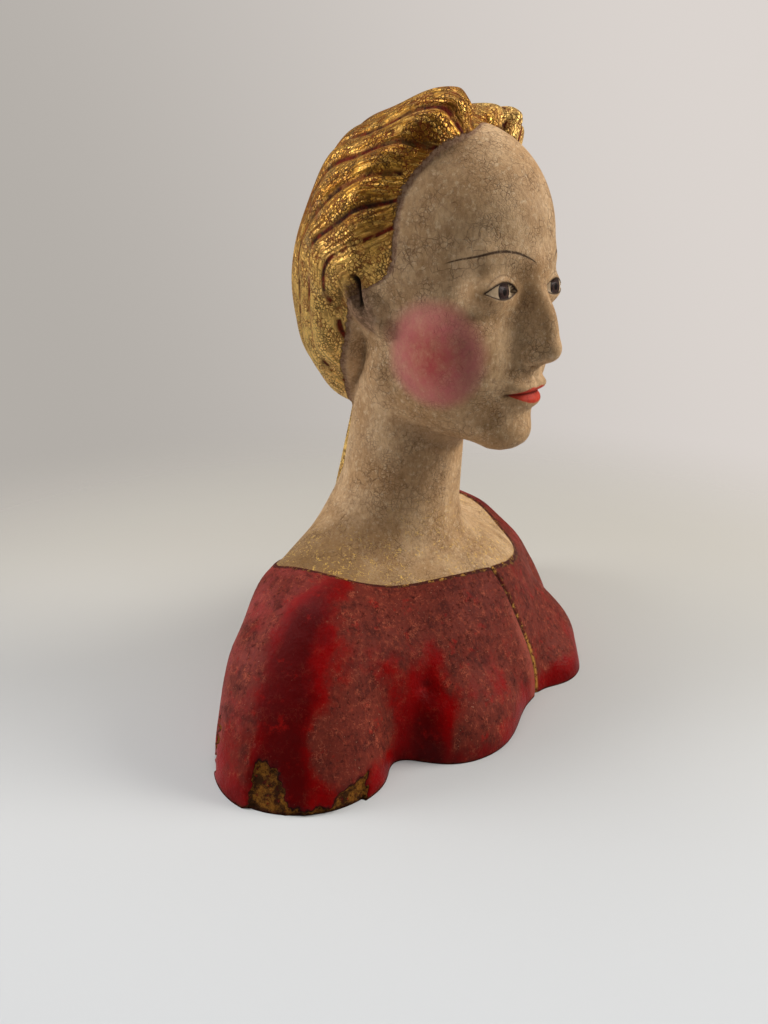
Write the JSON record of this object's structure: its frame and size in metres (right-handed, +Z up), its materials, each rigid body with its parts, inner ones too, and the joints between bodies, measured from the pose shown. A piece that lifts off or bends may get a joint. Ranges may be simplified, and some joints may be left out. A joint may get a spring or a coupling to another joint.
{
  "type": "sculpted bust",
  "caption": "Painted and gilded bust of a lady with combed-back wavy hair and a plain round-necked dress, cut flat below the chest to stand on its underside.",
  "frame": {"origin": "centre of the bounding box at the underside, on the flat foot", "axes": "+Z up, the chest faces -Y, the sitter's right arm is at -X; the head is turned 8 degrees towards -X"},
  "size_m": [0.4044, 0.222, 0.3965],
  "materials": {
    "painted_wood": "aged oil-like paint on a thick ground, satin, with gold leaf over red bole on the hair"
  },
  "bodies": {
    "root": {"bust": "painted_wood"}
  },
  "joints": []
}
